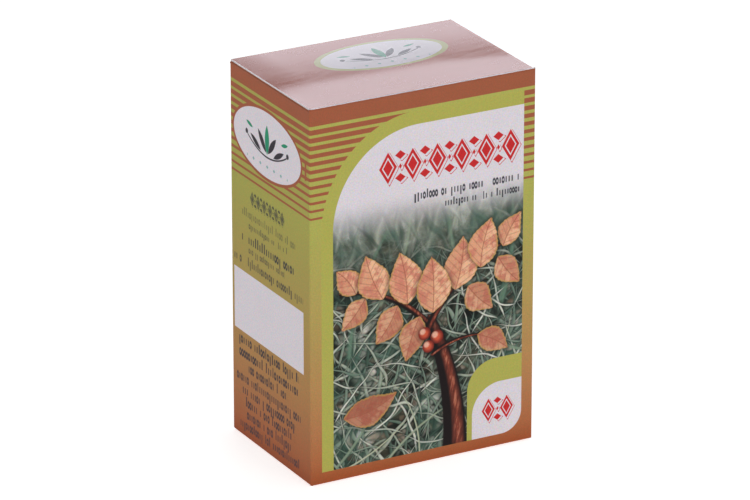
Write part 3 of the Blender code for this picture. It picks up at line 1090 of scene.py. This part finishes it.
# %% Back wall and bottom
SEAM_X = HALF_WIDTH - 0.6
LID_CREASE = LID_TOP - FOLD
BOTTOM_SIDE = HALF_WIDTH - 0.65
BOTTOM_FRONT = HALF_DEPTH - 0.65

back_middle = (LID_CREASE + FOLD) / 2
back_wall = new_sheet("back_wall", ((FOLD_X - SEAM_X) / 2, HALF_DEPTH, back_middle),
                      (FOLD_X + SEAM_X, LID_CREASE - FOLD), "back")
pick(back_wall, lambda x, y, z: near(x, FOLD_X))
crease((FOLD_X, FOLD_Y, 0), (0, 0, 1), -90)
thicken(back_wall)
soften_cut(back_wall, lambda x, y, z: near(x, -SEAM_X))
finish_piece(back_wall, "box", ["sleeve"], "printed_green", back_print)

bottom_outer = new_sheet("bottom_panel", (0, (FOLD_Y - BOTTOM_FRONT) / 2, 0),
                         (2 * BOTTOM_SIDE, FOLD_Y + BOTTOM_FRONT), "bottom")
pick(bottom_outer, lambda x, y, z: near(y, FOLD_Y))
crease((0, FOLD_Y, FOLD), (1, 0, 0), 90)
thicken(bottom_outer)
finish_piece(bottom_outer, "box", ["bottom_outer_flap"], "printed_brown", bottom_print)

# %% [markdown]
# The lid
# The lid panel stops just inside the side walls and folds down at the front into the tongue, which is a
# little narrower. The two corners beside that fold are cut short, and the lid's white cut edges are bevelled,
# so that they catch the light as a thin white line.

# %% Lid panel
LID_SIDE = HALF_WIDTH - 0.42
TONGUE_SIDE = HALF_WIDTH - 2.2
TONGUE_FOLD = 0.47
LID_CORNER_REACH = 0.35
LID_BEVEL = 0.1
LID_FRONT_FOLD = HALF_DEPTH - BOARD - 0.03 - TONGUE_FOLD

lid_panel = new_sheet("lid_board", (0, (FOLD_Y - LID_FRONT_FOLD) / 2, LID_TOP),
                      (2 * LID_SIDE, FOLD_Y + LID_FRONT_FOLD), "top")
for side in (-1, 1):
    bpy.ops.mesh.select_all(action="SELECT")
    bpy.ops.mesh.bisect(plane_co=mm(side * TONGUE_SIDE, 0, 0), plane_no=(1, 0, 0))
pick(lid_panel, lambda x, y, z: near(y, -LID_FRONT_FOLD) and abs(x) > TONGUE_SIDE - CLOSE_BY)
push_out(0, -LID_CORNER_REACH, 0)
pick(lid_panel, lambda x, y, z: near(y, -LID_FRONT_FOLD) and abs(x) < TONGUE_SIDE + CLOSE_BY)
crease((0, -LID_FRONT_FOLD, LID_TOP - TONGUE_FOLD), (1, 0, 0), 90)
thicken(lid_panel)
soften_cut(lid_panel, lambda x, y, z: near(abs(x), LID_SIDE) and near(z, LID_TOP), LID_BEVEL)
finish_piece(lid_panel, "lid", ["lid_panel"], "printed_brown", lid_print)

# %% [markdown]
# The tongue
# The tongue is curled round the lid's own crease, as a tongue that has been tucked in many times is, so it
# slides past the front wall when the lid swings. Its rows are extruded one by one from a narrow strip, which
# is deleted at the end, and the last rows are scaled down across, which gives the two round corners.

# %% Tongue
CREASE_Y = HALF_DEPTH - BOARD / 2
CREASE_Z = HEIGHT - BOARD / 2
TONGUE_LENGTH = 14.5
TONGUE_CORNER = 9
TONGUE_ROWS = 10

tongue_top = (-LID_FRONT_FOLD - TONGUE_FOLD, LID_TOP - TONGUE_FOLD)
tongue_radius = math.hypot(CREASE_Y - tongue_top[0], CREASE_Z - tongue_top[1])
straight = TONGUE_LENGTH - TONGUE_CORNER
depths = [0, straight / 2, straight]
for row in range(1, TONGUE_ROWS + 1):
    depths.append(straight + TONGUE_CORNER * math.sin(math.pi / 2 * row / TONGUE_ROWS))


def tongue_reach(depth):
    """Half the tongue's width at a depth below its fold."""
    into = max(depth - straight, 0)
    return TONGUE_SIDE - TONGUE_CORNER + math.sqrt(max(TONGUE_CORNER ** 2 - into ** 2, 0))


tongue = new_sheet("tongue", (0, tongue_top[0], tongue_top[1] + 0.5), (2 * TONGUE_SIDE, 1), "front")
pick(tongue, lambda x, y, z: near(z, tongue_top[1]))
pivot = mm(0, CREASE_Y, CREASE_Z)
for upper, lower in zip(depths, depths[1:]):
    bpy.ops.mesh.extrude_region_move()
    turn = (lower - upper) / tongue_radius
    bpy.ops.transform.rotate(value=-turn, orient_axis="X", center_override=pivot)
    bpy.ops.transform.resize(value=(tongue_reach(lower) / tongue_reach(upper), 1, 1))
pick(tongue, lambda x, y, z: z > tongue_top[1] + 0.9, "VERT")
bpy.ops.mesh.delete(type="VERT")
thicken(tongue)
finish_piece(tongue, "lid", ["tuck_tongue"], "white_board", white_board)

# %% [markdown]
# Dust flaps
# Two flaps fold in under the lid and keep dust out. They taper away from their creases and have round
# corners. One is modelled and the other is its mirror image.

# %% Dust flaps
FLAP_LENGTH = 22
FLAP_FRONT = -21.3
FLAP_REAR = 22.3
FLAP_TIP_FRONT = -18.2
FLAP_TIP_REAR = 10.7
FLAP_CORNER = 2.5


def dust_flap(name, side):
    """Makes one dust flap; side is -1 for the left one and 1 for the right one."""
    flap = new_sheet(name, (side * (FOLD_X - FLAP_LENGTH / 2), (FLAP_FRONT + FLAP_REAR) / 2, SIDE_TOP),
                     (FLAP_LENGTH, FLAP_REAR - FLAP_FRONT), "top")
    tip = side * (FOLD_X - FLAP_LENGTH)
    for old_y, new_y in ((FLAP_FRONT, FLAP_TIP_FRONT), (FLAP_REAR, FLAP_TIP_REAR)):
        pick(flap, lambda x, y, z: near(x, tip) and near(y, old_y), "VERT")
        bpy.ops.transform.translate(value=mm(0, new_y - old_y, 0))
    pick(flap, lambda x, y, z: near(x, tip), "VERT")
    bpy.ops.mesh.bevel(offset=FLAP_CORNER * MM, segments=6, affect="VERTICES")
    thicken(flap)
    return flap


for side, word in ((-1, "left"), (1, "right")):
    flap = dust_flap(f"{word}_dust_flap", side)
    finish_piece(flap, f"{word}_flap", [f"dust_flap_{word}"], "white_board", white_board)

# %% [markdown]
# Creases
# A crease is where two panels bend, so its board belongs to both. Each crease is a thin rounded strip of
# board of its own, made at the joint between the two panels.

# %% Creases
HINGE_LINE = 0.01


def crease_strip(name, edge, centre, axis, degrees, bodies, blend_from, blend_to, slot, outside):
    """Makes a rounded strip of board between two panels."""
    bpy.ops.object.select_all(action="DESELECT")
    bpy.ops.mesh.primitive_plane_add(size=1, location=(0, 0, 0))
    strip = bpy.context.object
    strip.name = strip.data.name = name
    bpy.ops.object.mode_set(mode="EDIT")
    pick(strip, lambda x, y, z: y < 0, "VERT")
    bpy.ops.mesh.delete(type="VERT")
    shape = bmesh.from_edit_mesh(strip.data)
    for corner, spot in zip(sorted(shape.verts, key=lambda vert: vert.co.x), edge):
        corner.co = mm(*spot)
    bmesh.update_edit_mesh(strip.data)
    bpy.ops.mesh.select_all(action="SELECT")
    crease(centre, axis, degrees)
    bpy.ops.mesh.select_all(action="SELECT")
    bpy.ops.mesh.normals_make_consistent(inside=False)
    thicken(strip)
    finish_piece(strip, None, [], slot, outside)
    mm(*blend_from)
    mm(*blend_to)
    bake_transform(strip)


crease_strip("lid_crease", ((FOLD_X, HALF_DEPTH, LID_CREASE), (-FOLD_X, HALF_DEPTH, LID_CREASE)),
             (0, FOLD_Y, LID_CREASE), (1, 0, 0), 90, ("box", "lid"),
             (0, FOLD_Y + HINGE_LINE, LID_CREASE - HINGE_LINE),
             (0, FOLD_Y - HINGE_LINE, LID_CREASE + HINGE_LINE), "printed_brown", lid_print)
for side, word in ((-1, "left"), (1, "right")):
    edge = [(side * HALF_WIDTH, y, FLAP_CREASE) for y in (side * FOLD_Y, -side * FOLD_Y)]
    crease_strip(f"{word}_flap_crease", edge, (side * FOLD_X, 0, FLAP_CREASE), (0, 1, 0), -side * 90,
                 ("box", f"{word}_flap"),
                 (side * (HALF_WIDTH - BOARD), 0, FLAP_CREASE), (side * FOLD_X, 0, SIDE_TOP - BOARD),
                 "printed_green", left_print if side < 0 else right_print)

# %% [markdown]
# Parts kept from the frame
# The inner bottom flaps are flat plates in the frame already, and only bare board shows on them.

# %% Kept parts
for name in ("bottom_inner_flap", "bottom_dust_flap_left", "bottom_dust_flap_right"):
    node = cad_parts[name]
    node.data.materials.clear()
    node.data.materials.append(grey_board)
    print(f"{name} kept, in {grey_board.name}")

# %% [markdown]
# Studio
# A glowing white table, as used for cut-out product pictures, fills the background and lights the walls from
# below. A large soft light in front of the carton, a smaller one at its left and a bright card behind it do
# the rest. The card is what the varnished lid mirrors at this low angle.

# %% Table, lights and surroundings
TABLE_SIZE = 60
TABLE_DROP = 0.0002
TABLE_GLOW = (0.72, 0.72, 0.72)
FAR_GLOW = (1, 1, 1)
FAR_FROM, FAR_TO = 500, 2500
LIGHT_DISTANCE = 2.4
CARTON_MIDDLE = Vector((0, 0, 0.055))

bpy.ops.object.select_all(action="DESELECT")
bpy.ops.mesh.primitive_plane_add(size=TABLE_SIZE, location=(0, 0, -TABLE_DROP))
table = bpy.context.object
table.name = "table"
table_material = bpy.data.materials.new("glowing_table")
table_material.use_nodes = True
tree = table_material.node_tree
shader = tree.nodes["Principled BSDF"]
shader.inputs["Base Color"].default_value = (0.8, 0.8, 0.8, 1)
shader.inputs["Roughness"].default_value = 1
shader.inputs["Specular IOR Level"].default_value = 0
far = length_of(*grid_of(tree, (0, 1, 0), (1, 1, 0))).between(FAR_FROM, FAR_TO)
plug(tree, coat(TABLE_GLOW, FAR_GLOW, far), shader.inputs["Emission Color"])
shader.inputs["Emission Strength"].default_value = 1
table.data.materials.append(table_material)
table.visible_glossy = False
table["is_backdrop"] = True


def way_to(azimuth, elevation):
    """The way from the carton to a light or a camera, in degrees round it and up from the table."""
    around, up = math.radians(azimuth), math.radians(elevation)
    return Vector((math.sin(around) * math.cos(up), -math.cos(around) * math.cos(up), math.sin(up)))


def soft_light(name, azimuth, elevation, width, height, power):
    """Hangs a rectangular light that looks at the carton's middle."""
    back = way_to(azimuth, elevation)
    bpy.ops.object.light_add(type="AREA", location=CARTON_MIDDLE + back * LIGHT_DISTANCE)
    light = bpy.context.object
    light.name = name
    light.rotation_euler = back.to_track_quat("Z", "Y").to_euler()
    light.data.shape = "RECTANGLE"
    light.data.size = width
    light.data.size_y = height
    light.data.energy = power
    print(f"{name}: {width} x {height} m, {power} W")
    return light


soft_light("front_light", 5, 35, 1.6, 1.2, 7)
soft_light("left_light", -75, 30, 1.2, 1.2, 2.75)
soft_light("rear_card", 151.34, 21.5, 1.6, 0.75, 12.2).data.color = (0.98, 1.0, 1.1)
soft_light("top_light", 30, 75, 1.2, 1.2, 4.5)

world = bpy.data.worlds.new("studio")
bpy.context.scene.world = world
world.use_nodes = True
tree = world.node_tree
parts = add_node(tree, "SeparateXYZ", {0: place_on(tree, "Generated")})
sky = coat((1, 1, 1), (0.22, 0.22, 0.22), abs(Flow(tree, parts.outputs[2])).between(0.03, 0.2))
background = tree.nodes["Background"]
plug(tree, sky, background.inputs["Color"])
background.inputs["Strength"].default_value = 1

# %% [markdown]
# Camera
# The camera stands where the photographer's did: low, to the left, and far away with a long lens, so that
# the carton's edges stay almost parallel.

# %% Camera
CAMERA_AZIMUTH = -28.661
CAMERA_ELEVATION = 21.507
CAMERA_DISTANCE = 1.553591
CAMERA_TARGET = Vector((-0.002236, 0, 0.055497))
CAMERA_LENS = 269.49

back = way_to(CAMERA_AZIMUTH, CAMERA_ELEVATION)
bpy.ops.object.camera_add(location=CAMERA_TARGET + back * CAMERA_DISTANCE)
camera = bpy.context.object
camera.rotation_euler = back.to_track_quat("Z", "Y").to_euler()
camera.data.lens = CAMERA_LENS
camera.data.sensor_width = 36
camera.data.clip_end = 100
bpy.context.scene.camera = camera
bpy.context.scene.view_settings.view_transform = "Standard"
print(f"camera {CAMERA_DISTANCE:.2f} m away, {CAMERA_LENS:.0f} mm lens")

# %% [markdown]
# Last checks
# The finished pieces must stay inside the frame's box, so how far they reach outside it is printed.

# %% Compare with the frame and finish
low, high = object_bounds()
print("outside the frame by at most", max(max(cad_low - low), max(high - cad_high)) / MM, "mm")
